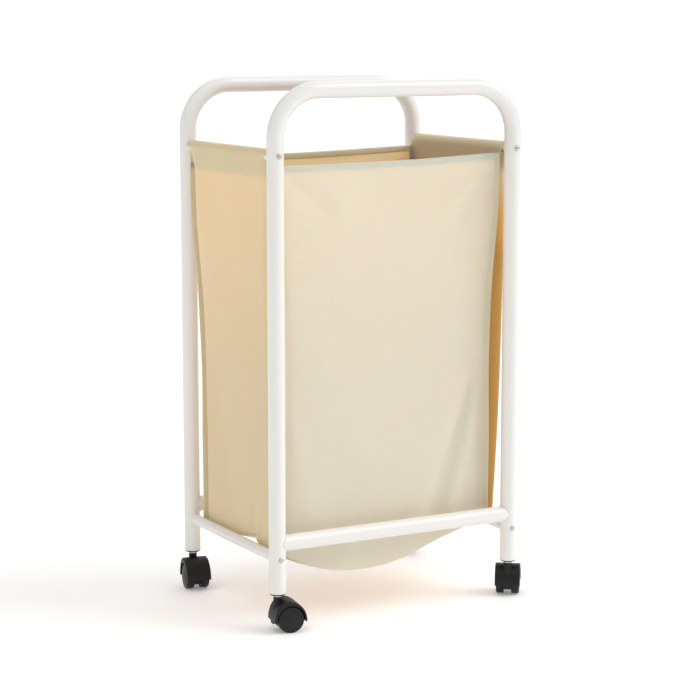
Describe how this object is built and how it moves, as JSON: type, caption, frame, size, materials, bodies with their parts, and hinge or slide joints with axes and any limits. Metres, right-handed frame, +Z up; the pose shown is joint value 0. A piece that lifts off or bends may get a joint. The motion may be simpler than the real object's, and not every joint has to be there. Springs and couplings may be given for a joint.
{
  "type": "laundry sorter on wheels",
  "caption": "Rolling laundry hamper: two white tube hoops joined by side rods hold an open cloth bag over twin-wheel swivel casters.",
  "frame": {"origin": "on the floor, under the middle of the four legs", "axes": "+Z up, +X to the right along the hoops, -Y towards the front hoop"},
  "size_m": [0.4686, 0.365, 0.8045],
  "materials": {
    "white_powder_coat": "gloss powder coat",
    "zinc_steel": "zinc plated",
    "black_plastic": "satin moulded",
    "wheel_plastic": "satin moulded",
    "cotton_cloth": "thin woven cotton"
  },
  "bodies": {
    "frame": {"front_hoop": "white_powder_coat", "rear_hoop": "white_powder_coat", "front_lower_rail": "white_powder_coat", "rear_lower_rail": "white_powder_coat", "left_lower_side_rod": "white_powder_coat", "right_lower_side_rod": "white_powder_coat", "left_upper_side_rod": "white_powder_coat", "right_upper_side_rod": "white_powder_coat", "rod_end_nuts": "zinc_steel", "upper_rod_screws": "zinc_steel", "lower_rod_screws": "zinc_steel", "bag_front_panel": "cotton_cloth", "bag_back_panel": "cotton_cloth", "bag_left_panel": "cotton_cloth", "bag_right_panel": "cotton_cloth", "bag_bottom_panel": "cotton_cloth", "front_left_leg_socket": "black_plastic", "front_right_leg_socket": "black_plastic", "rear_left_leg_socket": "black_plastic", "rear_right_leg_socket": "black_plastic"},
    "front_left_caster": {"front_left_caster_stem": "zinc_steel", "front_left_caster_grip_ring": "zinc_steel", "front_left_caster_hood": "black_plastic", "front_left_caster_axle": "zinc_steel"},
    "front_left_left_wheel": {"front_left_caster_left_wheel": "wheel_plastic"},
    "front_left_right_wheel": {"front_left_caster_right_wheel": "wheel_plastic"},
    "front_right_caster": {"front_right_caster_stem": "zinc_steel", "front_right_caster_grip_ring": "zinc_steel", "front_right_caster_hood": "black_plastic", "front_right_caster_axle": "zinc_steel"},
    "front_right_left_wheel": {"front_right_caster_left_wheel": "wheel_plastic"},
    "front_right_right_wheel": {"front_right_caster_right_wheel": "wheel_plastic"},
    "rear_left_caster": {"rear_left_caster_stem": "zinc_steel", "rear_left_caster_grip_ring": "zinc_steel", "rear_left_caster_hood": "black_plastic", "rear_left_caster_axle": "zinc_steel"},
    "rear_left_left_wheel": {"rear_left_caster_left_wheel": "wheel_plastic"},
    "rear_left_right_wheel": {"rear_left_caster_right_wheel": "wheel_plastic"},
    "rear_right_caster": {"rear_right_caster_stem": "zinc_steel", "rear_right_caster_grip_ring": "zinc_steel", "rear_right_caster_hood": "black_plastic", "rear_right_caster_axle": "zinc_steel"},
    "rear_right_left_wheel": {"rear_right_caster_left_wheel": "wheel_plastic"},
    "rear_right_right_wheel": {"rear_right_caster_right_wheel": "wheel_plastic"}
  },
  "joints": [
    {"name": "front_left_swivel", "type": "hinge", "parent": "frame", "child": "front_left_caster", "pos_m": [-0.202, -0.1475, 0.058], "axis": [0, 0, 1], "continuous": true},
    {"name": "front_left_left_wheel_roll", "type": "hinge", "parent": "front_left_caster", "child": "front_left_left_wheel", "pos_m": [-0.18624, -0.15028, 0.02], "axis": [0.1736, 0.9848, 0], "continuous": true},
    {"name": "front_left_right_wheel_roll", "type": "hinge", "parent": "front_left_caster", "child": "front_left_right_wheel", "pos_m": [-0.18624, -0.15028, 0.02], "axis": [0.1736, 0.9848, 0], "continuous": true},
    {"name": "front_right_swivel", "type": "hinge", "parent": "frame", "child": "front_right_caster", "pos_m": [0.202, -0.1475, 0.058], "axis": [0, 0, 1], "continuous": true},
    {"name": "front_right_left_wheel_roll", "type": "hinge", "parent": "front_right_caster", "child": "front_right_left_wheel", "pos_m": [0.21141, -0.13456, 0.02], "axis": [-0.809, 0.5878, 0], "continuous": true},
    {"name": "front_right_right_wheel_roll", "type": "hinge", "parent": "front_right_caster", "child": "front_right_right_wheel", "pos_m": [0.21141, -0.13456, 0.02], "axis": [-0.809, 0.5878, 0], "continuous": true},
    {"name": "rear_left_swivel", "type": "hinge", "parent": "frame", "child": "rear_left_caster", "pos_m": [-0.202, 0.1475, 0.058], "axis": [0, 0, 1], "continuous": true},
    {"name": "rear_left_left_wheel_roll", "type": "hinge", "parent": "rear_left_caster", "child": "rear_left_left_wheel", "pos_m": [-0.20478, 0.13174, 0.02], "axis": [0.9848, -0.1736, 0], "continuous": true},
    {"name": "rear_left_right_wheel_roll", "type": "hinge", "parent": "rear_left_caster", "child": "rear_left_right_wheel", "pos_m": [-0.20478, 0.13174, 0.02], "axis": [0.9848, -0.1736, 0], "continuous": true},
    {"name": "rear_right_swivel", "type": "hinge", "parent": "frame", "child": "rear_right_caster", "pos_m": [0.202, 0.1475, 0.058], "axis": [0, 0, 1], "continuous": true},
    {"name": "rear_right_left_wheel_roll", "type": "hinge", "parent": "rear_right_caster", "child": "rear_right_left_wheel", "pos_m": [0.19653, 0.16254, 0.02], "axis": [-0.9397, -0.342, 0], "continuous": true},
    {"name": "rear_right_right_wheel_roll", "type": "hinge", "parent": "rear_right_caster", "child": "rear_right_right_wheel", "pos_m": [0.19653, 0.16254, 0.02], "axis": [-0.9397, -0.342, 0], "continuous": true}
  ]
}
